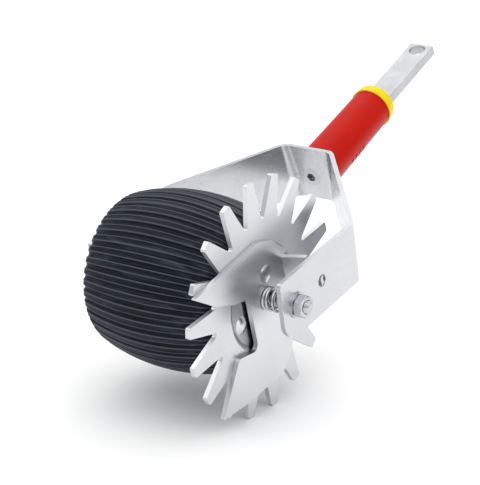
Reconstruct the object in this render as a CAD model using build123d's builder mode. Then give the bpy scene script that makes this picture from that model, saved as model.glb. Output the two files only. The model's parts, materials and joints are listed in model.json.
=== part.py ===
from build123d import *
from math import asin, cos, degrees, radians, sin, tan
import os

os.makedirs("parts", exist_ok=True)

# Rolling lawn-edge trimmer head: a ribbed rubber roller and a star-shaped cutter turn together on one
# axle bolt, a spring presses a fixed counter blade against the star, and a bent strap fork carries
# them on a handle socket with a quick-change tongue. All sizes are in millimetres.
#
# Row frame: +Z up, +X along the axle towards the nut, +Y back towards the handle. The origin is the
# centre of the latch hole in the tongue. Three ways of measuring are used:
#   station x   along the axle, from the outer face of the star's tooth ring, positive to the nut
#   s and w     along the arms from the axle, and square to them (upwards)
#   u           along the handle, from the back face of the fork's centre plate

# ---- layout -----------------------------------------------------------------------------------
ARM_TILT = 12.0         # the arms rise this many degrees from the axle to the centre plate
HANDLE_TILT = 22.7      # the handle rises more steeply, and the centre plate stands square to it
HANDLE_X = -62.0        # station of the handle's centre line
LATCH_U = 150.0         # latch hole, along the handle
PLATE_S = 156.1         # where the handle's centre line leaves the plate's back face
PLATE_W = -2.1

# ---- shared allowances ------------------------------------------------------------------------
FIT_GAP = 0.05          # round parts that fit into each other
SLOT_GAP = 0.1          # flat and stepped parts that fit into each other
RUNNING_GAP = 0.1       # faces that turn or slide against each other
CUT_OVERRUN = 1.0       # a cut starts and ends this far outside the piece

# ---- fork strap -------------------------------------------------------------------------------
STRAP_T = 3.0
STRAP_TOP_W = 21.0
STRAP_BOTTOM_W = -19.5
NEAR_ARM_X = 24.5       # outer face of the arm beside the star
FAR_ARM_X = -119.0      # outer face of the arm beyond the roller
NEAR_SLANT = 38.7       # degrees between the slanted panel and the arm
FAR_SLANT = 25.6
BEND_S = 69.5           # where both arms bend inwards
ARM_END_S = 15.0        # the arms end this far in front of the axle
BEND_R = 10.0           # outside bend radius
ARM_TOP_CORNER_R = 3.0
ARM_BOTTOM_CORNER_R = 13.0
AXLE_HOLE_R = 4.05
TAB_HOLE_R = 4.0
TAB_HOLE_YZ = (27.3, 7.6)

# ---- axle -------------------------------------------------------------------------------------
BOLT_R = 4.0
BOLT_END_X = 34.5
BOLT_CHAMFER = 1.2
BOLT_HEAD_T = 5.3
HEX_ACROSS_FLATS = 13.0
HEX_CHAMFER = 0.7
NUT_T = 6.0
NUT_HOLE_R = 4.06
WASHER_R = 8.0
WASHER_T = 1.2
WASHER_HOLE_R = 4.2

# ---- star cutter ------------------------------------------------------------------------------
TOOTH_COUNT = 18
STAR_R = 75.0
STAR_T = 3.0
FIRST_TOOTH = 120.75    # direction of one tooth, in degrees from +Y towards +Z
TOOTH_TIP_WIDTH = 6.5
SLOT_BOTTOM_R = 51.0
SLOT_HALF_WIDTH = 1.7
SLOT_OVERRUN = 4.0      # the slot's cutter reaches this far past the tips
TIP_CORNER_R = 1.2
DISH_DEPTH = 1.7        # the centre is set back, so that the rivet heads clear the blade
DISH_R = 30.5
DISH_RIM_R = 34.5
DISH_BACK_SHIFT = 0.6   # the back of the dish's slope lies this much nearer the axle than its front
DISH_JOIN_R = 48.0      # the dished disc runs this far into the tooth ring
STAR_HOLE_R = 9.0

# ---- star rivets ------------------------------------------------------------------------------
STAR_RIVET_COUNT = 3
STAR_RIVET_CIRCLE_R = 23.5
FIRST_STAR_RIVET = 211.0
RIVET_HEAD_R = 5.8
RIVET_HEAD_H = 1.5
RIVET_SHANK_R = 3.0
RIVET_TAIL_R = 4.6
RIVET_TAIL_H = 1.6
RIVET_LAP = 0.5         # the shank runs this far into its head and its tail

# ---- roller -----------------------------------------------------------------------------------
TYRE_NEAR_X = -7.0
TYRE_FAR_X = -103.0
TYRE_MID_R = 56.0
TYRE_END_R = 47.0
TYRE_CORNER_R = 6.0
TYRE_BORE_R = 37.05
RIB_COUNT = 42
GROOVE_R = 2.0
GROOVE_RISE = 0.2       # the groove cutter's centre stands this far above the rib tops
TUBE_R = 37.0
TUBE_WALL = 2.0
TUBE_SHY = 1.0          # the tube stops short of the tyre's ends
HUB_R = 34.95
HUB_PROUD = 1.0
HUB_WEB_T = 6.0
HUB_RIM_WALL = 4.0
HUB_RIM_DEPTH = 13.0
HUB_COLLAR_R = 11.0
HUB_COLLAR_DEPTH = 22.0
BUSH_R = 6.0
BUSH_BORE_R = 4.05
BUSH_LENGTH = 21.0
THRUST_WASHER_R = 12.0
THRUST_WASHER_T = 1.5
SPACER_R = 7.0
SPACER_BORE_R = 4.2

# ---- counter blade ----------------------------------------------------------------------------
BLADE_T = 3.0
BLADE_HOLE_R = 4.4
BLADE_RIVET_YZ = (-1.9, 15.8)
FLANGE_YZ = (17.6, 14.1)     # middle of the flange's bend line
FLANGE_SIDE_TURN = 20.0      # the bend line leans this many degrees from upright
FLANGE_LEAN = 15.0           # the flange leans this far from the axle's direction
FLANGE_WIDTH = 16.6
FLANGE_REACH = 15.5
FLANGE_LAP = 0.4             # the flange's root runs this far into the sheet, and its window clears it
TAB_WIDTH = 6.0
TAB_LOW = 12.5               # lower edge of the tab, down the bend line from its middle
TAB_START = 6.0
TAB_REACH = 22.6

# ---- spring -----------------------------------------------------------------------------------
SPRING_MEAN_R = 6.5
SPRING_WIRE_R = 0.95
SPRING_TURNS = 5.5
SPRING_GAP = 0.1

# ---- handle -----------------------------------------------------------------------------------
CORE_R = 11.0
CORE_START = 0.2
CORE_END = 75.7
TONGUE_WIDTH = 19.0
TONGUE_T = 7.0
TONGUE_START = 22.3
TONGUE_END = 158.0
TONGUE_CORNER_R = 1.5
TONGUE_EDGE = 0.6
LATCH_HOLE_R = 6.0
SLEEVE_BASE_R = 15.5
SLEEVE_TOP_R = 14.3
SLEEVE_START = 0.2
SLEEVE_END = 80.2
GRIP_NOTCHES = (28.0, 33.0, 38.0, 43.0)
GRIP_NOTCH_R = 1.6
GRIP_NOTCH_DEPTH = 1.1
GRIP_NOTCH_TURN = -60.0      # the notches sit this far round from straight down, towards the nut
RING_R = 15.2
RING_TOP_R = 14.2
RING_T = 7.8
RING_SPIGOT = 4.2
RING_EDGE_R = 1.2
TONGUE_PIN_U = 50.0
TONGUE_PIN_R = 2.0
TONGUE_PIN_LENGTH = 21.4
SCREW_R = 4.0
SCREW_HOLE_R = 4.2
SCREW_HEAD_R = 6.9
SCREW_LENGTH = 21.0
SCREW_RECESS_R = 3.46
SCREW_RECESS_DEPTH = 2.6

# ---- directions and planes --------------------------------------------------------------------
arm_angle = radians(ARM_TILT)
handle_angle = radians(HANDLE_TILT)
ARM_BACK = Vector(0, cos(arm_angle), sin(arm_angle))
ARM_UP = Vector(0, -sin(arm_angle), cos(arm_angle))
HANDLE_OUT = Vector(0, cos(handle_angle), sin(handle_angle))
AXLE = Vector(-HANDLE_X, 0, 0) - ARM_BACK * PLATE_S - ARM_UP * PLATE_W - HANDLE_OUT * LATCH_U
AXLE_LINE = Axis(AXLE, (1, 0, 0))
HANDLE_LINE = Axis((0, 0, 0), HANDLE_OUT)


def across(station):
    """Plane across the axle: local x runs back, local y runs up, and it faces the nut."""
    return Plane(origin=AXLE + Vector(station, 0, 0), x_dir=(0, 1, 0), z_dir=(1, 0, 0))


def along_axle():
    """Plane through the axle: local x is the station and local y the radius."""
    return Plane(origin=AXLE, x_dir=(1, 0, 0), z_dir=(0, -1, 0))


def arm_section(w):
    """Plane parallel to the arms' edges: local x is the station and local y runs along the arms."""
    return Plane(origin=AXLE + ARM_UP * w, x_dir=(1, 0, 0), z_dir=ARM_UP)


def handle_point(u):
    return HANDLE_OUT * (u - LATCH_U)


def handle_section(u):
    """Plane across the handle: local x is the width, local y points down, and it faces outwards."""
    return Plane(origin=handle_point(u), x_dir=(1, 0, 0), z_dir=HANDLE_OUT)


def along_handle():
    """Plane through the handle's centre line: local x is u and local y points up."""
    return Plane(origin=handle_point(0), x_dir=HANDLE_OUT, z_dir=(1, 0, 0))


def pin_section():
    """Plane across the tongue pin, at the middle of the handle."""
    return Plane(origin=handle_point(TONGUE_PIN_U), x_dir=HANDLE_OUT, z_dir=(1, 0, 0))


def clocked(radius, angle):
    """Point across the axle at a radius, with the angle in degrees from +Y towards +Z."""
    return (radius * cos(radians(angle)), radius * sin(radians(angle)))


def off_axle(edge):
    """Distance of an edge's middle from the axle's centre line."""
    middle = edge.center() - AXLE
    return (middle.Y**2 + middle.Z**2) ** 0.5


# ---- fork bracket -----------------------------------------------------------------------------
def strap_corners(w):
    """Outside corners of the bent strap at height w. The plate leans back to face the handle."""
    plate_s = PLATE_S - (w - PLATE_W) * tan(handle_angle - arm_angle)
    run = plate_s - BEND_S
    return [
        (NEAR_ARM_X, -ARM_END_S),
        (NEAR_ARM_X, BEND_S),
        (NEAR_ARM_X - run * tan(radians(NEAR_SLANT)), plate_s),
        (FAR_ARM_X + run * tan(radians(FAR_SLANT)), plate_s),
        (FAR_ARM_X, BEND_S),
        (FAR_ARM_X, -ARM_END_S),
    ]


with BuildPart() as fork_bracket:
    for w in (STRAP_BOTTOM_W, STRAP_TOP_W):
        with BuildSketch(arm_section(w)):
            with BuildLine():
                outside = FilletPolyline(*strap_corners(w), radius=BEND_R)
                offset(outside, amount=STRAP_T, side=Side.LEFT)
            make_face()
    loft(ruled=True)
    bottom_edges = fork_bracket.edges().filter_by(Axis.X).group_by(Axis.Z)[0]
    fillet(bottom_edges, radius=ARM_BOTTOM_CORNER_R)
    top_edges = fork_bracket.edges().filter_by(Axis.X).group_by(Axis.Y)[0]
    fillet(top_edges, radius=ARM_TOP_CORNER_R)
    with BuildSketch(across(FAR_ARM_X - STRAP_T)):
        Circle(AXLE_HOLE_R)
    extrude(amount=NEAR_ARM_X - FAR_ARM_X + 2 * STRAP_T, mode=Mode.SUBTRACT)
    with BuildSketch(across(NEAR_ARM_X - 2 * STRAP_T)):
        with Locations(TAB_HOLE_YZ):
            Circle(TAB_HOLE_R)
    extrude(amount=3 * STRAP_T, mode=Mode.SUBTRACT)
    with Locations(Plane(origin=handle_point(-STRAP_T), x_dir=(1, 0, 0), z_dir=-HANDLE_OUT)):
        CounterSinkHole(
            radius=SCREW_HOLE_R,
            counter_sink_radius=SCREW_HEAD_R + FIT_GAP,
            depth=3 * STRAP_T,
            counter_sink_angle=90,
        )
fork_bracket.part.label = "fork_bracket"
export_step(fork_bracket.part, "parts/fork_bracket.step")

# ---- axle bolt, nut and washers ---------------------------------------------------------------
with BuildPart() as axle_bolt:
    head_x = FAR_ARM_X - WASHER_T - BOLT_HEAD_T
    with BuildSketch(across(head_x)):
        RegularPolygon(radius=HEX_ACROSS_FLATS / 2, side_count=6, major_radius=False)
    extrude(amount=BOLT_HEAD_T)
    chamfer(axle_bolt.faces().sort_by(Axis.X)[0].edges(), length=HEX_CHAMFER)
    with BuildSketch(across(head_x)):
        Circle(BOLT_R)
    extrude(amount=BOLT_END_X - head_x)
    chamfer(axle_bolt.faces().sort_by(Axis.X)[-1].edges(), length=BOLT_CHAMFER)
axle_bolt.part.label = "axle_bolt"
export_step(axle_bolt.part, "parts/axle_bolt.step")

with BuildPart() as axle_nut:
    with BuildSketch(across(NEAR_ARM_X + WASHER_T)):
        RegularPolygon(radius=HEX_ACROSS_FLATS / 2, side_count=6, major_radius=False)
    extrude(amount=NUT_T)
    chamfer(axle_nut.faces().sort_by(Axis.X)[-1].edges(), length=HEX_CHAMFER)
    with BuildSketch(across(NEAR_ARM_X)):
        Circle(NUT_HOLE_R)
    extrude(amount=NUT_T + 2 * WASHER_T, mode=Mode.SUBTRACT)
axle_nut.part.label = "axle_nut"
export_step(axle_nut.part, "parts/axle_nut.step")


def ring_sketch(outer, inner):
    """A flat ring, for washers, tubes and bushes."""
    Circle(outer)
    Circle(inner, mode=Mode.SUBTRACT)


with BuildPart() as nut_washer:
    with BuildSketch(across(NEAR_ARM_X)):
        ring_sketch(WASHER_R, WASHER_HOLE_R)
    extrude(amount=WASHER_T)
nut_washer.part.label = "nut_washer"
export_step(nut_washer.part, "parts/nut_washer.step")

with BuildPart() as head_washer:
    with BuildSketch(across(FAR_ARM_X - WASHER_T)):
        ring_sketch(WASHER_R, WASHER_HOLE_R)
    extrude(amount=WASHER_T)
head_washer.part.label = "head_washer"
export_step(head_washer.part, "parts/head_washer.step")

# The spacer keeps the roller off the far arm, and the thrust washer takes the spring's push.
far_hub_face = TYRE_FAR_X - HUB_PROUD
thrust_face = far_hub_face - RUNNING_GAP
far_arm_inside = FAR_ARM_X + STRAP_T

with BuildPart() as thrust_washer:
    with BuildSketch(across(thrust_face - THRUST_WASHER_T)):
        ring_sketch(THRUST_WASHER_R, WASHER_HOLE_R)
    extrude(amount=THRUST_WASHER_T)
thrust_washer.part.label = "thrust_washer"
export_step(thrust_washer.part, "parts/thrust_washer.step")

with BuildPart() as far_spacer:
    with BuildSketch(across(far_arm_inside)):
        ring_sketch(SPACER_R, SPACER_BORE_R)
    extrude(amount=thrust_face - THRUST_WASHER_T - far_arm_inside)
far_spacer.part.label = "far_spacer"
export_step(far_spacer.part, "parts/far_spacer.step")

# ---- roller -----------------------------------------------------------------------------------
tyre_half_length = (TYRE_NEAR_X - TYRE_FAR_X) / 2
tyre_mid_x = (TYRE_NEAR_X + TYRE_FAR_X) / 2
crown = TYRE_MID_R - TYRE_END_R
crown_radius = (tyre_half_length**2 + crown**2) / (2 * crown)

with BuildPart() as groove_cutter:
    # A groove follows the crown of the barrel, so its cutter is a ring about the crown's own centre.
    with BuildSketch(across(tyre_mid_x)):
        with Locations((0, TYRE_MID_R + GROOVE_RISE)):
            Circle(GROOVE_R)
    revolve(axis=Axis(AXLE + Vector(tyre_mid_x, 0, TYRE_MID_R - crown_radius), (0, 1, 0)))

with BuildPart() as roller_tyre:
    with BuildSketch(along_axle()):
        with BuildLine():
            ThreePointArc((TYRE_FAR_X, TYRE_END_R), (tyre_mid_x, TYRE_MID_R), (TYRE_NEAR_X, TYRE_END_R))
            Polyline(
                (TYRE_NEAR_X, TYRE_END_R),
                (TYRE_NEAR_X, TYRE_BORE_R),
                (TYRE_FAR_X, TYRE_BORE_R),
                (TYRE_FAR_X, TYRE_END_R),
            )
        make_face()
    revolve(axis=AXLE_LINE)
    end_rims = roller_tyre.edges().filter_by(GeomType.CIRCLE).sort_by(lambda rim: rim.radius)[-2:]
    fillet(end_rims, radius=TYRE_CORNER_R)
    for rib in range(RIB_COUNT):
        add(groove_cutter.part.rotate(AXLE_LINE, rib * 360 / RIB_COUNT), mode=Mode.SUBTRACT)
roller_tyre.part.label = "roller_tyre"
export_step(roller_tyre.part, "parts/roller_tyre.step")

with BuildPart() as drum_tube:
    with BuildSketch(across(TYRE_FAR_X + TUBE_SHY)):
        ring_sketch(TUBE_R, TUBE_R - TUBE_WALL)
    extrude(amount=2 * (tyre_half_length - TUBE_SHY))
drum_tube.part.label = "drum_tube"
export_step(drum_tube.part, "parts/drum_tube.step")


# Each hub is a web, a rim that presses into the drum tube and a collar that holds a bush.
HUB_LAYERS = (
    (HUB_R, BUSH_R, HUB_WEB_T),
    (HUB_R, HUB_R - HUB_RIM_WALL, HUB_RIM_DEPTH),
    (HUB_COLLAR_R, BUSH_R, HUB_COLLAR_DEPTH),
)
near_hub_face = -STAR_T - DISH_DEPTH

with BuildPart() as near_hub:
    for outer, inner, depth in HUB_LAYERS:
        with BuildSketch(across(near_hub_face)):
            ring_sketch(outer, inner)
        extrude(amount=-depth)
    with BuildSketch(across(near_hub_face + CUT_OVERRUN)):
        with PolarLocations(STAR_RIVET_CIRCLE_R, STAR_RIVET_COUNT, start_angle=FIRST_STAR_RIVET):
            Circle(RIVET_SHANK_R + FIT_GAP)
    extrude(amount=-(HUB_WEB_T + 2 * CUT_OVERRUN), mode=Mode.SUBTRACT)
near_hub.part.label = "near_hub"
export_step(near_hub.part, "parts/near_hub.step")

with BuildPart() as far_hub:
    for outer, inner, depth in HUB_LAYERS:
        with BuildSketch(across(far_hub_face)):
            ring_sketch(outer, inner)
        extrude(amount=depth)
far_hub.part.label = "far_hub"
export_step(far_hub.part, "parts/far_hub.step")

with BuildPart() as near_bush:
    with BuildSketch(across(near_hub_face)):
        ring_sketch(BUSH_R - FIT_GAP, BUSH_BORE_R)
    extrude(amount=-BUSH_LENGTH)
near_bush.part.label = "near_bush"
export_step(near_bush.part, "parts/near_bush.step")

with BuildPart() as far_bush:
    with BuildSketch(across(far_hub_face)):
        ring_sketch(BUSH_R - FIT_GAP, BUSH_BORE_R)
    extrude(amount=BUSH_LENGTH)
far_bush.part.label = "far_bush"
export_step(far_bush.part, "parts/far_bush.step")

# ---- star cutter ------------------------------------------------------------------------------
tooth_pitch = 360 / TOOTH_COUNT
tip_half_angle = degrees(asin(TOOTH_TIP_WIDTH / 2 / STAR_R))
slot_mouth_half = STAR_R * sin(radians(tooth_pitch / 2 - tip_half_angle))
slot_mouth_r = STAR_R * cos(radians(tooth_pitch / 2 - tip_half_angle))
slot_flare = (slot_mouth_half - SLOT_HALF_WIDTH) / (slot_mouth_r - SLOT_BOTTOM_R)
slot_outer_r = STAR_R + SLOT_OVERRUN
slot_outer_half = slot_mouth_half + slot_flare * (slot_outer_r - slot_mouth_r)

with BuildPart() as star_cutter:
    with BuildSketch(across(-STAR_T)):
        Circle(STAR_R)
        Circle(DISH_RIM_R - DISH_BACK_SHIFT, mode=Mode.SUBTRACT)
        with PolarLocations(0, TOOTH_COUNT, start_angle=FIRST_TOOTH + tooth_pitch / 2):
            Polygon(
                (SLOT_BOTTOM_R, -SLOT_HALF_WIDTH),
                (slot_outer_r, -slot_outer_half),
                (slot_outer_r, slot_outer_half),
                (SLOT_BOTTOM_R, SLOT_HALF_WIDTH),
                align=None,
                mode=Mode.SUBTRACT,
            )
            with Locations((SLOT_BOTTOM_R, 0)):
                Circle(SLOT_HALF_WIDTH, mode=Mode.SUBTRACT)
    extrude(amount=STAR_T)
    sheet_edges = star_cutter.edges().filter_by(Axis.X)
    tip_corners = sheet_edges.filter_by(lambda edge: off_axle(edge) > STAR_R - CUT_OVERRUN)
    fillet(tip_corners, radius=TIP_CORNER_R)
    with BuildSketch(along_axle()):
        with BuildLine():
            Polyline(
                (0, DISH_JOIN_R),
                (0, DISH_RIM_R),
                (-DISH_DEPTH, DISH_R),
                (-DISH_DEPTH, STAR_HOLE_R),
                (-DISH_DEPTH - STAR_T, STAR_HOLE_R),
                (-DISH_DEPTH - STAR_T, DISH_R - DISH_BACK_SHIFT),
                (-STAR_T, DISH_RIM_R - DISH_BACK_SHIFT),
                (-STAR_T, DISH_JOIN_R),
                close=True,
            )
        make_face()
    revolve(axis=AXLE_LINE)
    with BuildSketch(across(CUT_OVERRUN)):
        with PolarLocations(STAR_RIVET_CIRCLE_R, STAR_RIVET_COUNT, start_angle=FIRST_STAR_RIVET):
            Circle(RIVET_SHANK_R + FIT_GAP)
    extrude(amount=-(DISH_DEPTH + STAR_T + 2 * CUT_OVERRUN), mode=Mode.SUBTRACT)
star_cutter.part.label = "star_cutter"
export_step(star_cutter.part, "parts/star_cutter.step")


def dome(place):
    """Low domed rivet head standing at a place."""
    ball_r = (RIVET_HEAD_R**2 + RIVET_HEAD_H**2) / (2 * RIVET_HEAD_H)
    upright = (Align.CENTER, Align.CENTER, Align.MIN)
    base = Cylinder(RIVET_HEAD_R, RIVET_HEAD_H, align=upright, mode=Mode.PRIVATE)
    ball = Pos(0, 0, RIVET_HEAD_H - ball_r) * Sphere(ball_r, mode=Mode.PRIVATE)
    return place * (base & ball)


with BuildPart() as star_rivets:
    with BuildSketch(across(-DISH_DEPTH + RIVET_LAP)):
        with PolarLocations(STAR_RIVET_CIRCLE_R, STAR_RIVET_COUNT, start_angle=FIRST_STAR_RIVET):
            Circle(RIVET_SHANK_R)
    extrude(amount=-(STAR_T + HUB_WEB_T + 2 * RIVET_LAP))
    with BuildSketch(across(near_hub_face - HUB_WEB_T)):
        with PolarLocations(STAR_RIVET_CIRCLE_R, STAR_RIVET_COUNT, start_angle=FIRST_STAR_RIVET):
            Circle(RIVET_TAIL_R)
    extrude(amount=-RIVET_TAIL_H)
    for step in range(STAR_RIVET_COUNT):
        head_spot = clocked(STAR_RIVET_CIRCLE_R, FIRST_STAR_RIVET + step * 360 / STAR_RIVET_COUNT)
        add(dome(across(-DISH_DEPTH) * Pos(head_spot[0], head_spot[1], 0)))
star_rivets.part.label = "star_rivets"
export_step(star_rivets.part, "parts/star_rivets.step")

# ---- counter blade ----------------------------------------------------------------------------
BLADE_OUTLINE = [
    (-74.0, 20.0),     # tip of the upper wing
    (-10.0, 37.5),     # rounded top
    (4.0, 35.5),
    (17.0, 27.5),
    (40.0, 15.0),      # right side, behind the arm
    (30.0, -30.0),
    (27.5, -42.0),
    (19.0, -53.5),
    (-16.0, -61.0),
    (-45.2, -63.5),    # tip of the lower wing
    (-29.0, -30.0),
    (-8.5, -30.5),     # notch that shows the star between the wings
    (-19.5, 5.0),
    (-33.7, 5.6),
    (-53.0, 10.0),
]
BLADE_CORNER_RADII = [0.6, 9.0, 8.0, 4.0, 6.0, 6.0, 8.0, 8.0, 6.0, 0.6, 4.0, 4.0, 4.0, 4.0, 4.0]
blade_back = RUNNING_GAP
blade_front = RUNNING_GAP + BLADE_T
bend_turn = radians(FLANGE_SIDE_TURN)
bend_down = Vector(0, sin(bend_turn), -cos(bend_turn))
bend_side = Vector(0, cos(bend_turn), sin(bend_turn))
flange_out = Vector(1, 0, 0) * cos(radians(FLANGE_LEAN)) + bend_side * sin(radians(FLANGE_LEAN))
flange_origin = AXLE + Vector(blade_front, FLANGE_YZ[0], FLANGE_YZ[1])
flange_plane = Plane(origin=flange_origin, x_dir=flange_out, z_dir=flange_out.cross(bend_down))
# The flange leans, so its inner corner reaches lowest, and it has to stay above the blade's back face.
flange_root = BLADE_T * (1 - sin(radians(FLANGE_LEAN))) / cos(radians(FLANGE_LEAN)) - FLANGE_LAP

with BuildPart() as counter_blade:
    with BuildSketch(across(blade_back)):
        with BuildLine():
            FilletPolyline(*BLADE_OUTLINE, radius=BLADE_CORNER_RADII, close=True)
        make_face()
        Circle(BLADE_HOLE_R, mode=Mode.SUBTRACT)
        with Locations(BLADE_RIVET_YZ):
            Circle(RIVET_SHANK_R, mode=Mode.SUBTRACT)
    extrude(amount=BLADE_T)
    # The flange is cut free on three sides and bent out, which leaves a window beside its root.
    window_plane = Plane(origin=flange_origin, x_dir=bend_side, z_dir=(1, 0, 0))
    with BuildSketch(window_plane):
        with Locations((BLADE_T + FLANGE_LAP, 0)):
            Rectangle(FLANGE_REACH, FLANGE_WIDTH, align=(Align.MIN, Align.CENTER))
    extrude(amount=-BLADE_T, mode=Mode.SUBTRACT)
    with BuildSketch(flange_plane):
        with Locations((-flange_root, 0)):
            Rectangle(flange_root + FLANGE_REACH, FLANGE_WIDTH, align=(Align.MIN, Align.CENTER))
        with Locations((TAB_START, TAB_LOW)):
            Rectangle(TAB_REACH - TAB_START, TAB_WIDTH, align=(Align.MIN, Align.MAX))
    extrude(amount=BLADE_T)
counter_blade.part.label = "counter_blade"
export_step(counter_blade.part, "parts/counter_blade.step")

with BuildPart() as blade_rivet:
    with BuildSketch(across(blade_back)):
        with Locations(BLADE_RIVET_YZ):
            Circle(RIVET_SHANK_R - FIT_GAP)
    extrude(amount=BLADE_T + RIVET_LAP)
    add(dome(across(blade_front) * Pos(BLADE_RIVET_YZ[0], BLADE_RIVET_YZ[1], 0)))
blade_rivet.part.label = "blade_rivet"
export_step(blade_rivet.part, "parts/blade_rivet.step")

# ---- pressure spring --------------------------------------------------------------------------
spring_start = blade_front + SPRING_GAP
spring_end = NEAR_ARM_X - STRAP_T - SPRING_GAP
spring_length = spring_end - spring_start
spring_rise = spring_length - 2 * SPRING_WIRE_R

with BuildPart() as pressure_spring:
    with BuildLine():
        coil = Helix(
            pitch=spring_rise / SPRING_TURNS,
            height=spring_rise,
            radius=SPRING_MEAN_R,
            center=AXLE + Vector(spring_start + SPRING_WIRE_R, 0, 0),
            direction=(1, 0, 0),
        )
    with BuildSketch(Plane(origin=coil @ 0, z_dir=coil % 0)):
        Circle(SPRING_WIRE_R)
    sweep(is_frenet=True)
pressure_spring.part.label = "pressure_spring"
export_step(pressure_spring.part, "parts/pressure_spring.step")

# ---- handle -----------------------------------------------------------------------------------
with BuildPart() as tongue:
    with BuildSketch(handle_section(TONGUE_START)):
        Rectangle(TONGUE_WIDTH, TONGUE_T)
    extrude(amount=TONGUE_END - TONGUE_START)
    end_edges = tongue.faces().sort_by(HANDLE_LINE)[-1].edges().filter_by(Axis.X, reverse=True)
    fillet(end_edges, radius=TONGUE_CORNER_R)
    chamfer(tongue.edges().filter_by(HANDLE_LINE), length=TONGUE_EDGE)
    latch_plane = Plane(origin=(0, 0, 0), x_dir=(1, 0, 0), z_dir=(0, -sin(handle_angle), cos(handle_angle)))
    with BuildSketch(latch_plane):
        Circle(LATCH_HOLE_R)
    extrude(amount=TONGUE_T, both=True, mode=Mode.SUBTRACT)
    with BuildSketch(pin_section()):
        Circle(TONGUE_PIN_R + FIT_GAP)
    extrude(amount=TONGUE_WIDTH, both=True, mode=Mode.SUBTRACT)
tongue.part.label = "tongue"
export_step(tongue.part, "parts/tongue.step")

with BuildPart() as handle_core:
    with BuildSketch(handle_section(CORE_START)):
        Circle(CORE_R)
        Circle(SCREW_R + FIT_GAP, mode=Mode.SUBTRACT)
    extrude(amount=CORE_END - CORE_START)
    with BuildSketch(handle_section(TONGUE_START - SLOT_GAP)):
        Rectangle(TONGUE_WIDTH + 2 * SLOT_GAP, TONGUE_T + 2 * SLOT_GAP)
    extrude(amount=CORE_END - TONGUE_START + CUT_OVERRUN, mode=Mode.SUBTRACT)
    with BuildSketch(pin_section()):
        Circle(TONGUE_PIN_R + FIT_GAP)
    extrude(amount=2 * CORE_R, both=True, mode=Mode.SUBTRACT)
handle_core.part.label = "handle_core"
export_step(handle_core.part, "parts/handle_core.step")

with BuildPart() as tongue_pin:
    with BuildSketch(pin_section()):
        Circle(TONGUE_PIN_R)
    extrude(amount=TONGUE_PIN_LENGTH / 2, both=True)
tongue_pin.part.label = "tongue_pin"
export_step(tongue_pin.part, "parts/tongue_pin.step")

with BuildPart() as grip_sleeve:
    with BuildSketch(along_handle()):
        with BuildLine():
            Polyline(
                (SLEEVE_START, CORE_R + SLOT_GAP),
                (SLEEVE_START, SLEEVE_BASE_R),
                (SLEEVE_END, SLEEVE_TOP_R),
                (SLEEVE_END, CORE_R + SLOT_GAP),
                close=True,
            )
        make_face()
    revolve(axis=HANDLE_LINE)
    # Finger notches run across the side of the sleeve that faces the nut, a little below its middle.
    for notch_u in GRIP_NOTCHES:
        sleeve_r = SLEEVE_BASE_R + (SLEEVE_TOP_R - SLEEVE_BASE_R) * notch_u / SLEEVE_END
        reach = sleeve_r + GRIP_NOTCH_R - GRIP_NOTCH_DEPTH
        bar = Cylinder(GRIP_NOTCH_R, 2 * SLEEVE_BASE_R, mode=Mode.PRIVATE)
        notch_side = handle_section(notch_u) * Rot(0, 0, GRIP_NOTCH_TURN)
        add(notch_side * Pos(0, reach, 0) * Rot(0, 90, 0) * bar, mode=Mode.SUBTRACT)
grip_sleeve.part.label = "grip_sleeve"
export_step(grip_sleeve.part, "parts/grip_sleeve.step")

with BuildPart() as collar_ring:
    with BuildSketch(along_handle()):
        with BuildLine():
            Polyline(
                (SLEEVE_END, 0),
                (SLEEVE_END, RING_R),
                (SLEEVE_END + RING_T, RING_TOP_R),
                (SLEEVE_END + RING_T, 0),
                close=True,
            )
        make_face()
    revolve(axis=HANDLE_LINE)
    fillet(collar_ring.edges().sort_by(HANDLE_LINE)[-1], radius=RING_EDGE_R)
    with BuildSketch(handle_section(SLEEVE_END)):
        Circle(CORE_R - SLOT_GAP)
    extrude(amount=-RING_SPIGOT)
    with BuildSketch(handle_section(SLEEVE_END - RING_SPIGOT)):
        Rectangle(TONGUE_WIDTH + 2 * SLOT_GAP, TONGUE_T + 2 * SLOT_GAP)
    extrude(amount=RING_SPIGOT + RING_T, mode=Mode.SUBTRACT)
collar_ring.part.label = "collar_ring"
export_step(collar_ring.part, "parts/collar_ring.step")

with BuildPart() as handle_screw:
    with BuildSketch(along_handle()):
        with BuildLine():
            Polyline(
                (-STRAP_T, 0),
                (-STRAP_T, SCREW_HEAD_R),
                (-STRAP_T + SCREW_HEAD_R - SCREW_R, SCREW_R),
                (-STRAP_T + SCREW_LENGTH, SCREW_R),
                (-STRAP_T + SCREW_LENGTH, 0),
                close=True,
            )
        make_face()
    revolve(axis=HANDLE_LINE)
    with BuildSketch(handle_section(-STRAP_T)):
        RegularPolygon(radius=SCREW_RECESS_R, side_count=6)
    extrude(amount=SCREW_RECESS_DEPTH, mode=Mode.SUBTRACT)
handle_screw.part.label = "handle_screw"
export_step(handle_screw.part, "parts/handle_screw.step")
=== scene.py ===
import json
from math import cos, pi, radians, sin, sqrt

import bmesh
import bpy
from mathutils import Matrix, Vector

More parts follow.
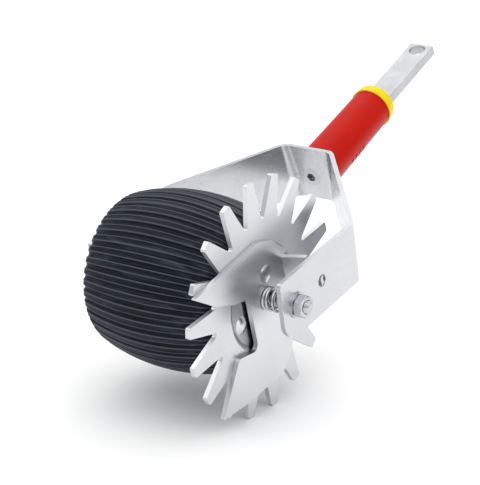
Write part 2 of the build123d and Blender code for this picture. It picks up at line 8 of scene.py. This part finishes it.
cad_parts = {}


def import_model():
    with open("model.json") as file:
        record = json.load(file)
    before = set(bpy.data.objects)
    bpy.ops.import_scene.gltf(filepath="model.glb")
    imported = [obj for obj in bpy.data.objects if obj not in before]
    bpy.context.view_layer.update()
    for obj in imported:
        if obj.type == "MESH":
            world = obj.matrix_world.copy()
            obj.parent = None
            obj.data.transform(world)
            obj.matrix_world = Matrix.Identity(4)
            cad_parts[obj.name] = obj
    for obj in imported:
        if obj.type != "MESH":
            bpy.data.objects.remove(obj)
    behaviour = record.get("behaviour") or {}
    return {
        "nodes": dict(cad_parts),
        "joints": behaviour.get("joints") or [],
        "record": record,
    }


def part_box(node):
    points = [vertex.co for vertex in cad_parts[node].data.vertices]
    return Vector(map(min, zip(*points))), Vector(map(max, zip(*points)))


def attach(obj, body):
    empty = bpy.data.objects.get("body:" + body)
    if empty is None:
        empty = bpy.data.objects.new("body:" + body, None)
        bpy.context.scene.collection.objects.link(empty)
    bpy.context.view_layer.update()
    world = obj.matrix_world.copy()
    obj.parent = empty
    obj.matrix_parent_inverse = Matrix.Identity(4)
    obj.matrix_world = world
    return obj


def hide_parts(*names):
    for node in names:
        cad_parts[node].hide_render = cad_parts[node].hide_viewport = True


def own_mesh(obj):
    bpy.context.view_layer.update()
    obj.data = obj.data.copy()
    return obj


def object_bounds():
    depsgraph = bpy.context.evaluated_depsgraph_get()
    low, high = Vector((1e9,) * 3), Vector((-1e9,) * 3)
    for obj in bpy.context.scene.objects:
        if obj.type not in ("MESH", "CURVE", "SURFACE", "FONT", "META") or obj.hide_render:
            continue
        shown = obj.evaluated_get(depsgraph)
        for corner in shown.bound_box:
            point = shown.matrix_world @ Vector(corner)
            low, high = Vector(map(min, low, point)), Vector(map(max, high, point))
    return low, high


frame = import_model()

# Rolling lawn-edge trimmer head, in metres. The CAD nodes keep their shapes. A few of them get a more
# detailed piece in their place: the ribbed tyre, the nut, the threaded bolt and the spring.

MM = 0.001
cad_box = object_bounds()


# ---- places read from the frame ---------------------------------------------------------------
spin_joint = next(joint for joint in frame["joints"] if joint["name"] == "roller_spin")
AXLE = Vector(spin_joint["pos_m"])


# ---- mesh helpers -----------------------------------------------------------------------------
def new_piece(name, verts, faces, material, body):
    """A mesh in the row frame that rides on a body and takes its finish from a record slot."""
    mesh = bpy.data.meshes.new(name)
    mesh.from_pydata(verts, [], faces)
    mesh.validate()
    bm = bmesh.new()
    bm.from_mesh(mesh)
    bmesh.ops.recalc_face_normals(bm, faces=bm.faces)
    bm.to_mesh(mesh)
    bm.free()
    mesh.polygons.foreach_set("use_smooth", [True] * len(mesh.polygons))
    mesh.materials.append(material)
    piece = bpy.data.objects.new(name, mesh)
    bpy.context.scene.collection.objects.link(piece)
    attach(piece, body)
    return piece


def grid_faces(rings, around):
    """Quads between neighbouring rings of points, each ring with the same number of points."""
    faces = []
    for ring in range(rings - 1):
        for step in range(around):
            following = (step + 1) % around
            faces.append((
                ring * around + step,
                ring * around + following,
                (ring + 1) * around + following,
                (ring + 1) * around + step,
            ))
    return faces


def around_axle(station, radius, angle):
    """Point at a station along the axle, with the angle in radians from +Y towards +Z."""
    return AXLE + Vector((station, radius * cos(angle), radius * sin(angle)))


BEVEL_ANGLE = 35        # degrees; flatter edges stay as they are
BEVEL_SEGMENTS = 3


def bevelled(obj, width):
    """Softens a CAD node's machined edges with a modifier, which leaves its own mesh alone."""
    bevel = obj.modifiers.new("edge", "BEVEL")
    bevel.width = width
    bevel.segments = BEVEL_SEGMENTS
    bevel.limit_method = "ANGLE"
    bevel.angle_limit = radians(BEVEL_ANGLE)
    bevel.harden_normals = True


# ---- material helpers -------------------------------------------------------------------------
class Shade:
    """Builds one node material: a Principled shader and the nodes that feed it."""

    def __init__(self, name):
        self.material = bpy.data.materials.new(name)
        self.material.use_nodes = True
        self.tree = self.material.node_tree
        self.shader = self.tree.nodes["Principled BSDF"]
        self.coords = self.node("ShaderNodeTexCoord").outputs["Object"]

    def node(self, kind, **values):
        made = self.tree.nodes.new(kind)
        for key, value in values.items():
            setattr(made, key, value)
        return made

    def link(self, source, target):
        self.tree.links.new(source, target)

    def stretched(self, scale):
        """Object coordinates in the row frame, stretched by three factors."""
        mapping = self.node("ShaderNodeMapping")
        mapping.inputs["Scale"].default_value = scale
        self.link(self.coords, mapping.inputs["Vector"])
        return mapping.outputs["Vector"]

    def noise(self, scale, detail=4.0, rough=0.5, coords=None):
        made = self.node("ShaderNodeTexNoise")
        made.inputs["Scale"].default_value = scale
        made.inputs["Detail"].default_value = detail
        made.inputs["Roughness"].default_value = rough
        self.link(coords or self.coords, made.inputs["Vector"])
        return made.outputs["Fac"]

    def near_axle(self, radius):
        """One within a radius of the axle, fading to zero over two millimetres."""
        away = self.node("ShaderNodeVectorMath", operation="SUBTRACT")
        away.inputs[1].default_value = AXLE
        flat = self.node("ShaderNodeVectorMath", operation="MULTIPLY")
        flat.inputs[1].default_value = (0, 1, 1)
        length = self.node("ShaderNodeVectorMath", operation="LENGTH")
        self.link(self.coords, away.inputs[0])
        self.link(away.outputs["Vector"], flat.inputs[0])
        self.link(flat.outputs["Vector"], length.inputs[0])
        return self.remap(length.outputs["Value"], 1.0, 0.0, radius - 1.0 * MM, radius + 1.0 * MM)

    def ramp(self, source, stops):
        """A colour ramp from a list of (position, colour)."""
        made = self.node("ShaderNodeValToRGB")
        elements = made.color_ramp.elements
        elements[0].position, elements[0].color = stops[0][0], (*stops[0][1], 1)
        elements[1].position, elements[1].color = stops[-1][0], (*stops[-1][1], 1)
        for position, colour in stops[1:-1]:
            elements.new(position).color = (*colour, 1)
        self.link(source, made.inputs["Fac"])
        return made.outputs["Color"]

    def remap(self, source, low, high, from_low=0.3, from_high=0.7):
        made = self.node("ShaderNodeMapRange")
        made.inputs["From Min"].default_value = from_low
        made.inputs["From Max"].default_value = from_high
        made.inputs["To Min"].default_value = low
        made.inputs["To Max"].default_value = high
        self.link(source, made.inputs["Value"])
        return made.outputs["Result"]

    def edges(self, low=0.5, high=0.58):
        """Zero on flats and one on outside edges."""
        geometry = self.node("ShaderNodeNewGeometry")
        return self.remap(geometry.outputs["Pointiness"], 0.0, 1.0, low, high)

    def mixed(self, amount, first, second):
        made = self.node("ShaderNodeMix", data_type="RGBA")
        self.link(amount, made.inputs["Factor"])
        for value, socket in ((first, made.inputs["A"]), (second, made.inputs["B"])):
            if isinstance(value, tuple):
                socket.default_value = (*value, 1)
            else:
                self.link(value, socket)
        return made.outputs["Result"]

    def bumped(self, *heights):
        """Chains (height, strength, distance in metres) bumps into the shader's normal."""
        normal = None
        for height, strength, distance in heights:
            bump = self.node("ShaderNodeBump")
            bump.inputs["Strength"].default_value = strength
            bump.inputs["Distance"].default_value = distance
            self.link(height, bump.inputs["Height"])
            if normal:
                self.link(normal, bump.inputs["Normal"])
            normal = bump.outputs["Normal"]
        self.link(normal, self.shader.inputs["Normal"])

    def colour(self, source):
        self.link(source, self.shader.inputs["Base Color"])

    def rough(self, source):
        self.link(source, self.shader.inputs["Roughness"])

    def set(self, **values):
        for key, value in values.items():
            self.shader.inputs[key.replace("_", " ")].default_value = value


def zinc(name, light, dark, rough_low, rough_high, grain, painted_shade_disc=None):
    """Bright zinc plate: cloudy tone, fine rolling grain along one direction and faint scuffs.

    The optional last argument is (radius, tone): inside that radius about the axle the plate is painted
    darker, as painted shade and dark reflection from the counter blade."""
    s = Shade(name)
    s.set(Metallic=1.0)
    cloud = s.noise(28, detail=5)
    streak = s.noise(160, detail=3, coords=s.stretched(grain))
    scuff = s.noise(420, detail=6, rough=0.7)
    tone = s.ramp(cloud, [(0.32, dark), (0.68, light)])
    tone = s.mixed(s.remap(scuff, 0.0, 0.5, 0.60, 0.74), tone, tuple(c * 0.94 for c in dark))
    # painted shade: the plate about the axle takes a darker tone, standing for the counter blade's shadow
    # and dark reflection on it
    if painted_shade_disc:
        radius, painted_shade_tone = painted_shade_disc
        tone = s.mixed(s.near_axle(radius), tone, painted_shade_tone)
    s.colour(tone)
    s.rough(s.remap(streak, rough_low, rough_high))
    s.bumped((s.noise(30, detail=0), 0.04, 0.0002), (s.noise(1400, detail=1), 0.03, 0.00004))
    return s.material


def steel(name, colour, rough_low, rough_high):
    """Plain machined or drawn steel."""
    s = Shade(name)
    s.set(Metallic=1.0)
    patches = s.noise(90, detail=4)
    s.colour(s.ramp(patches, [(0.3, tuple(c * 0.82 for c in colour)), (0.7, colour)]))
    s.rough(s.remap(patches, rough_low, rough_high))
    s.bumped((s.noise(900, detail=2), 0.06, 0.00008))
    return s.material


def black_rubber():
    """Moulded rubber: blue-black, semi-matt, with painted highlights on the rib edges and pale streaks
    along the ribs.
    """
    s = Shade("black_rubber")
    s.set(Specular_IOR_Level=0.14)
    cloud = s.noise(45, detail=4)
    streak = s.noise(260, detail=4, coords=s.stretched(ALONG_AXLE))
    tone = s.ramp(cloud, [(0.3, (0.001, 0.002, 0.005)), (0.7, (0.004, 0.007, 0.014))])
    dusty = s.mixed(s.remap(streak, 0.0, 0.7, 0.52, 0.74), tone, (0.045, 0.056, 0.078))
    # painted highlight: the rib edges get a paler colour where they would catch the light
    s.colour(s.mixed(s.edges(0.505, 0.56), dusty, (0.090, 0.104, 0.132)))
    s.rough(s.remap(streak, 0.36, 0.52))
    s.bumped((s.noise(1800, detail=2), 0.10, 0.00012), (streak, 0.25, 0.0004))
    return s.material


def moulded(name, colour, shade, rough_low, rough_high, gloss=0.32):
    """Injection-moulded plastic with a fine spark texture and a slight unevenness of tone."""
    s = Shade(name)
    s.set(Specular_IOR_Level=gloss)
    cloud = s.noise(35, detail=3)
    tone = s.ramp(cloud, [(0.3, shade), (0.7, colour)])
    worn = tuple(min(1.0, c * 1.12) for c in colour)
    s.colour(s.mixed(s.remap(s.noise(300, detail=5), 0.0, 0.35, 0.58, 0.74), tone, worn))
    s.rough(s.remap(cloud, rough_low, rough_high))
    s.bumped((s.noise(1500, detail=2), 0.05, 0.00008))
    return s.material


ALONG_AXLE = (0.05, 1, 1)
GRAIN_ALONG_ARM = (1, 0.08, 1)
GRAIN_ON_SHEET = (1, 0.12, 1)
GRAIN_EVEN = (1, 1, 1)
# painted shade: inside this radius about the axle the star is darkened, standing for the counter blade's
# shadow and dark reflection
PAINTED_SHADE_R = 33.5 * MM         # the star is duller inside this radius
PAINTED_SHADE_TONE = (0.36, 0.37, 0.39)

MATERIALS = {
    "zinc_strap": zinc(
        "zinc_strap", (0.60, 0.61, 0.63), (0.56, 0.57, 0.59), 0.22, 0.30, GRAIN_ALONG_ARM,
    ),
    "zinc_blade": zinc(
        "zinc_blade", (0.69, 0.70, 0.72), (0.64, 0.65, 0.67), 0.30, 0.38, GRAIN_ON_SHEET,
    ),
    "zinc_fastener": zinc(
        "zinc_fastener", (0.58, 0.59, 0.61), (0.46, 0.47, 0.50), 0.14, 0.26, GRAIN_EVEN,
    ),
    "rivet_steel": steel("rivet_steel", (0.74, 0.75, 0.77), 0.20, 0.32),
    "spring_steel": steel("spring_steel", (0.62, 0.63, 0.65), 0.22, 0.34),
    "plain_steel": steel("plain_steel", (0.55, 0.55, 0.56), 0.30, 0.42),
    "bronze": steel("bronze", (0.70, 0.50, 0.28), 0.35, 0.50),
    "black_rubber": black_rubber(),
    "hub_plastic": moulded(
        "hub_plastic", (0.035, 0.036, 0.040), (0.025, 0.026, 0.030), 0.42, 0.55,
    ),
    "bearing_plastic": moulded(
        "bearing_plastic", (0.80, 0.80, 0.76), (0.72, 0.72, 0.68), 0.35, 0.45,
    ),
    "red_plastic": moulded(
        "red_plastic", (0.50, 0.007, 0.0), (0.45, 0.005, 0.0), 0.28, 0.38, gloss=0.10,
    ),
    "yellow_plastic": moulded(
        "yellow_plastic", (0.80, 0.60, 0.0), (0.74, 0.55, 0.0), 0.28, 0.38, gloss=0.16,
    ),
    "tongue_alloy": steel("tongue_alloy", (0.56, 0.57, 0.59), 0.34, 0.44),
}

# the star carries painted shade about the axle, for the counter blade's shadow and dark reflection
STAR_MATERIAL = zinc(
    "zinc_star", (0.66, 0.67, 0.69), (0.60, 0.61, 0.63), 0.28, 0.36, GRAIN_ON_SHEET,
    painted_shade_disc=(PAINTED_SHADE_R, PAINTED_SHADE_TONE),
)

for part in frame["record"]["subparts"]:
    cad_node = frame["nodes"][part["node"]]
    cad_node.data.materials.clear()
    cad_node.data.materials.append(MATERIALS[part["material_slot"]])

frame["nodes"]["star_cutter"].data.materials[0] = STAR_MATERIAL

EDGE_WIDTHS = {
    "fork_bracket": 0.35 * MM,
    "star_cutter": 0.3 * MM,
    "counter_blade": 0.3 * MM,
    "tongue": 0.3 * MM,
    "nut_washer": 0.15 * MM,
    "head_washer": 0.15 * MM,
    "collar_ring": 0.3 * MM,
    "far_spacer": 0.3 * MM,
}
for name, width in EDGE_WIDTHS.items():
    bevelled(frame["nodes"][name], width)


# ---- ribbed tyre ------------------------------------------------------------------------------
RIB_COUNT = 42
GROOVE_HALF = 1.9 * MM          # half the groove's width at the rib tops
GROOVE_DEPTH = 1.9 * MM
RIB_SAG = 0.35 * MM             # each rib is slightly hollow between its two raised edges
STEPS_PER_RIB = 20
TYRE_END_R = 47.0 * MM
TYRE_BORE_R = 37.05 * MM
TYRE_CORNER = 6.0 * MM
CORNER_FADE = 0.25              # share of the groove's depth lost round the end corners
CORNER_STEPS = 10
BARREL_STEPS = 28


def tyre_stations(half):
    """(offset from the middle, drop below the crown) along the tyre, round both end corners."""
    corner = []
    for step in range(CORNER_STEPS + 1):
        turn = pi / 2 * step / CORNER_STEPS
        corner.append((half - TYRE_CORNER + TYRE_CORNER * sin(turn), TYRE_CORNER * (1 - cos(turn))))
    barrel = half - TYRE_CORNER
    middle = [(barrel - 2 * barrel * step / BARREL_STEPS, 0.0) for step in range(1, BARREL_STEPS)]
    return corner[::-1] + middle + [(-offset, drop) for offset, drop in corner]


def rib_depth(share, pitch, fade):
    """How far the surface lies below the rib tops, at a share of the rib's pitch from a groove's middle."""
    from_groove = min(share, 1 - share) * pitch
    if from_groove < GROOVE_HALF:
        return fade * GROOVE_DEPTH * sqrt(1 - (from_groove / GROOVE_HALF) ** 2)
    across_rib = (from_groove - GROOVE_HALF) / (pitch / 2 - GROOVE_HALF)
    return fade * RIB_SAG * sin(across_rib * pi / 2) ** 0.7


def tyre():
    """Barrel with hollow-topped ribs and round grooves, which fade out towards the bore at each end."""
    low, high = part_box("roller_tyre")
    far_x, near_x = low.x - AXLE.x, high.x - AXLE.x
    mid_r = (high.y - low.y) / 2
    half = (near_x - far_x) / 2
    crown = mid_r - TYRE_END_R
    crown_radius = (half * half + crown * crown) / (2 * crown)
    middle = (near_x + far_x) / 2
    around = RIB_COUNT * STEPS_PER_RIB
    verts = []
    stations = tyre_stations(half)
    for offset, drop in stations:
        surface = mid_r - (crown_radius - sqrt(crown_radius**2 - offset**2)) - drop
        pitch = 2 * pi * surface / RIB_COUNT
        fade = 1.0 - CORNER_FADE * drop / TYRE_CORNER
        for step in range(around):
            cut = rib_depth(step % STEPS_PER_RIB / STEPS_PER_RIB, pitch, fade)
            verts.append(around_axle(middle + offset, surface - cut, 2 * pi * step / around))
    for offset in (-half, half):
        for step in range(around):
            verts.append(around_axle(middle + offset, TYRE_BORE_R, 2 * pi * step / around))
    rings = len(stations) + 2
    faces = grid_faces(rings, around)
    last = (rings - 1) * around
    for step in range(around):
        following = (step + 1) % around
        faces.append((last + step, last + following, following, step))
    piece = new_piece("ribbed_tyre", verts, faces, MATERIALS["black_rubber"], "roller")
    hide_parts("roller_tyre")


tyre()


# ---- pressure spring --------------------------------------------------------------------------
SPRING_TURNS = 5.5
SPRING_WIRE = 0.95 * MM
SPRING_MEAN = 6.5 * MM
SPRING_END_TURN = 0.75      # turns at each end that lie flat, as on a closed and ground spring
SPRING_EASE = 0.35          # share of the rise that eases in and out next to those flat turns
SPRING_STEPS = 360
SPRING_AROUND = 14


def spring():
    low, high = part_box("pressure_spring")
    start, end = low.x - AXLE.x + SPRING_WIRE, high.x - AXLE.x - SPRING_WIRE
    steps = SPRING_STEPS
    around = SPRING_AROUND
    verts = []
    points = []
    for step in range(steps + 1):
        turn = SPRING_TURNS * step / steps
        share = (turn - SPRING_END_TURN) / (SPRING_TURNS - 2 * SPRING_END_TURN)
        share = min(1.0, max(0.0, share))
        eased = share * share * (3 - 2 * share)
        rise = eased * SPRING_EASE + share * (1 - SPRING_EASE)
        points.append(around_axle(start + (end - start) * rise, SPRING_MEAN, 2 * pi * turn))
    for index, point in enumerate(points):
        ahead = points[min(index + 1, steps)] - points[max(index - 1, 0)]
        ahead.normalize()
        outward = point - AXLE
        outward.x = 0
        outward.normalize()
        side = ahead.cross(outward).normalized()
        outward = side.cross(ahead).normalized()
        for step in range(around):
            turn = 2 * pi * step / around
            verts.append(point + (outward * cos(turn) + side * sin(turn)) * SPRING_WIRE)
    faces = grid_faces(steps + 1, around)
    faces.append(tuple(range(around)))
    faces.append(tuple(range(steps * around, (steps + 1) * around)))
    piece = new_piece("coil_spring", verts, faces, MATERIALS["spring_steel"], "blade")
    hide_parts("pressure_spring")
    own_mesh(piece)


spring()


# ---- threaded bolt and nut --------------------------------------------------------------------
BOLT_R = 4.0 * MM
THREAD_PITCH = 1.25 * MM
THREAD_DEPTH = 0.55 * MM
THREAD_LENGTH = 22.0 * MM
BOLT_POINT = 1.2 * MM           # chamfer at the bolt's end
POINT_RISE = 0.35 * MM          # the end face is slightly domed
HEAD_HEIGHT = 5.3 * MM
ACROSS_FLATS = 13.0 * MM
NUT_BORE_R = 4.06 * MM
AROUND_BOLT = 48
HEX_CHAMFER_SLOPE = 0.55
HEX_FACE_R = 6.1 * MM           # radius where the chamfer meets the end face
HEX_CHAMFER_STEP = 0.2 * MM
NUT_CHAMFER_STEPS = 6
HEAD_CHAMFER_STEPS = 5
HEAD_FACE_R = 5.9 * MM
NUT_COUNTERSINK = 0.5 * MM
THREAD_STEPS_PER_PITCH = 14
SHARP_ANGLE = 28                # degrees; edges sharper than this are shaded as edges
POINT_RINGS = (0.75, 0.5, 0.25, 0.0004)     # shares of the end face's radius, down to its closed middle
CLOSED_R = 0.001 * MM           # radius of a ring that closes a face


def hex_radius(angle):
    """Distance from a hexagon's centre to its side, in a direction."""
    turn = (angle + pi / 6) % (pi / 3) - pi / 6
    return ACROSS_FLATS / 2 / cos(turn)


def hex_ring(station, radius_limit, around):
    """Ring of points on a hexagon whose corners are turned down to a radius."""
    ring = []
    for step in range(around):
        angle = 2 * pi * step / around
        ring.append(around_axle(station, min(hex_radius(angle), radius_limit), angle))
    return ring


def chamfer_ring(face, into, step):
    """Ring on a hexagon's turned-down end, some steps in from its face."""
    drop = step * HEX_CHAMFER_STEP
    return hex_ring(face + into * drop, HEX_FACE_R + drop / HEX_CHAMFER_SLOPE, AROUND_BOLT)


def round_ring(station, radius, around):
    return [around_axle(station, radius, 2 * pi * step / around) for step in range(around)]


def thread_ring(station, start, end, around):
    """Ring of points on the thread, which runs out smoothly at the shank and at the point."""
    ring = []
    for step in range(around):
        angle = 2 * pi * step / around
        phase = (station / THREAD_PITCH - step / around) % 1
        tooth = abs(2 * phase - 1)
        run_in = min(1.0, max(0.0, (station - start) / THREAD_PITCH))
        limit = BOLT_R - max(0.0, BOLT_POINT - (end - station))
        ring.append(around_axle(station, min(BOLT_R - THREAD_DEPTH * tooth * run_in, limit), angle))
    return ring


def bolt():
    low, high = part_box("axle_bolt")
    start, end = low.x - AXLE.x, high.x - AXLE.x
    corner = ACROSS_FLATS / 2 / cos(pi / 6)
    head_end = start + HEAD_HEIGHT
    thread_start = end - THREAD_LENGTH
    rings = [round_ring(start, CLOSED_R, AROUND_BOLT), round_ring(start, HEAD_FACE_R, AROUND_BOLT)]
    rings += [chamfer_ring(start, 1, step) for step in range(HEAD_CHAMFER_STEPS + 1)]
    rings.append(hex_ring(head_end, corner, AROUND_BOLT))
    rings.append(round_ring(head_end, BOLT_R, AROUND_BOLT))
    rings.append(round_ring(thread_start, BOLT_R, AROUND_BOLT))
    steps = int(THREAD_LENGTH / THREAD_PITCH * THREAD_STEPS_PER_PITCH)
    for step in range(1, steps + 1):
        station = thread_start + (THREAD_LENGTH - POINT_RISE) * step / steps
        rings.append(thread_ring(station, thread_start, end - POINT_RISE, AROUND_BOLT))
    for share in POINT_RINGS:
        rings.append(round_ring(end - POINT_RISE * share**2, (BOLT_R - BOLT_POINT) * share, AROUND_BOLT))
    verts = [point for ring in rings for point in ring]
    faces = grid_faces(len(rings), AROUND_BOLT)
    piece = new_piece("threaded_bolt", verts, faces, MATERIALS["zinc_fastener"], "fork")
    piece.data.set_sharp_from_angle(angle=radians(SHARP_ANGLE))
    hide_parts("axle_bolt")


def nut():
    """Hexagon nut with its corners turned down at both faces and a countersunk thread."""
    low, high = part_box("axle_nut")
    start, end = low.x - AXLE.x, high.x - AXLE.x
    rings = [round_ring(start, NUT_BORE_R, AROUND_BOLT)]
    rings += [chamfer_ring(start, 1, step) for step in range(NUT_CHAMFER_STEPS + 1)]
    rings += [chamfer_ring(end, -1, step) for step in range(NUT_CHAMFER_STEPS, -1, -1)]
    rings.append(round_ring(end, NUT_BORE_R + NUT_COUNTERSINK, AROUND_BOLT))
    rings.append(round_ring(end - NUT_COUNTERSINK, NUT_BORE_R, AROUND_BOLT))
    verts = [point for ring in rings for point in ring]
    faces = grid_faces(len(rings), AROUND_BOLT)
    last = (len(rings) - 1) * AROUND_BOLT
    for step in range(AROUND_BOLT):
        following = (step + 1) % AROUND_BOLT
        faces.append((last + step, last + following, following, step))
    piece = new_piece("hex_nut", verts, faces, MATERIALS["zinc_fastener"], "fork")
    piece.data.set_sharp_from_angle(angle=radians(SHARP_ANGLE))
    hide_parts("axle_nut")


bolt()
nut()


# ---- stage, light and camera ------------------------------------------------------------------
FLOOR_SIZE = 40.0
FLOOR_TONE = (0.93, 0.93, 0.93, 1)


def floor():
    low, high = cad_box
    middle = (low + high) / 2
    bpy.ops.mesh.primitive_plane_add(size=FLOOR_SIZE, location=(middle.x, middle.y, low.z))
    ground = bpy.context.object
    ground.name = "floor"
    s = Shade("floor")
    s.shader.inputs["Base Color"].default_value = FLOOR_TONE
    s.shader.inputs["Roughness"].default_value = 0.7
    ground.data.materials.append(s.material)


def area_light(name, place, aim, size, power):
    data = bpy.data.lights.new(name, "AREA")
    data.shape = "RECTANGLE"
    data.size, data.size_y = size
    data.energy = power
    lamp = bpy.data.objects.new(name, data)
    bpy.context.scene.collection.objects.link(lamp)
    lamp.location = place
    lamp.rotation_euler = (Vector(aim) - Vector(place)).to_track_quat("-Z", "Y").to_euler()


def world():
    """Pale horizon under a darker band and a bright sky, so that bare metal has something to mirror."""
    scene_world = bpy.data.worlds.new("studio")
    scene_world.use_nodes = True
    tree = scene_world.node_tree
    direction = tree.nodes.new("ShaderNodeTexCoord")
    split = tree.nodes.new("ShaderNodeSeparateXYZ")
    ramp = tree.nodes.new("ShaderNodeValToRGB")
    height = tree.nodes.new("ShaderNodeMapRange")
    height.inputs["From Min"].default_value = -1.0
    tree.links.new(direction.outputs["Generated"], split.inputs["Vector"])
    tree.links.new(split.outputs["Z"], height.inputs["Value"])
    tree.links.new(height.outputs["Result"], ramp.inputs["Fac"])
    stops = ramp.color_ramp.elements
    stops[0].position, stops[0].color = 0.50, (0.96, 0.96, 0.96, 1)
    stops[1].position, stops[1].color = 0.85, (1.0, 1.0, 1.0, 1)
    stops.new(0.56).color = (0.50, 0.51, 0.54, 1)
    stops.new(0.66).color = (0.70, 0.71, 0.73, 1)
    tree.links.new(ramp.outputs["Color"], tree.nodes["Background"].inputs["Color"])
    tree.nodes["Background"].inputs["Strength"].default_value = 1.02
    bpy.context.scene.world = scene_world


CAMERA_AZIMUTH = 34.54
CAMERA_ELEVATION = 17.85
CAMERA_FROM_AXLE = Vector((0.61709, -0.92082, 0.39140))
LENS_MM = 145.386
SENSOR_MM = 36


def camera():
    azimuth, elevation = radians(CAMERA_AZIMUTH), radians(CAMERA_ELEVATION)
    back = Vector((
        cos(elevation) * sin(azimuth),
        -cos(elevation) * cos(azimuth),
        sin(elevation),
    ))
    right = Vector((0, 0, 1)).cross(back).normalized()
    up = back.cross(right)
    data = bpy.data.cameras.new("camera")
    data.lens = LENS_MM
    data.sensor_width = SENSOR_MM
    data.clip_start, data.clip_end = 0.01, 50
    eye = bpy.data.objects.new("camera", data)
    bpy.context.scene.collection.objects.link(eye)
    turned = Matrix((right, up, back)).transposed().to_4x4()
    eye.matrix_world = Matrix.Translation(AXLE + CAMERA_FROM_AXLE) @ turned
    bpy.context.scene.camera = eye


centre = (cad_box[0] + cad_box[1]) / 2
floor()
world()
area_light("key", centre + Vector((-0.3, -0.4, 1.8)), centre, (3.6, 3.4), 24)
area_light("side", centre + Vector((1.6, 0.1, 0.6)), centre, (0.8, 1.4), 2.5)
area_light("back", centre + Vector((-0.2, 1.6, 1.1)), centre, (1.6, 0.9), 9)
camera()
bpy.context.scene.view_settings.view_transform = "Standard"
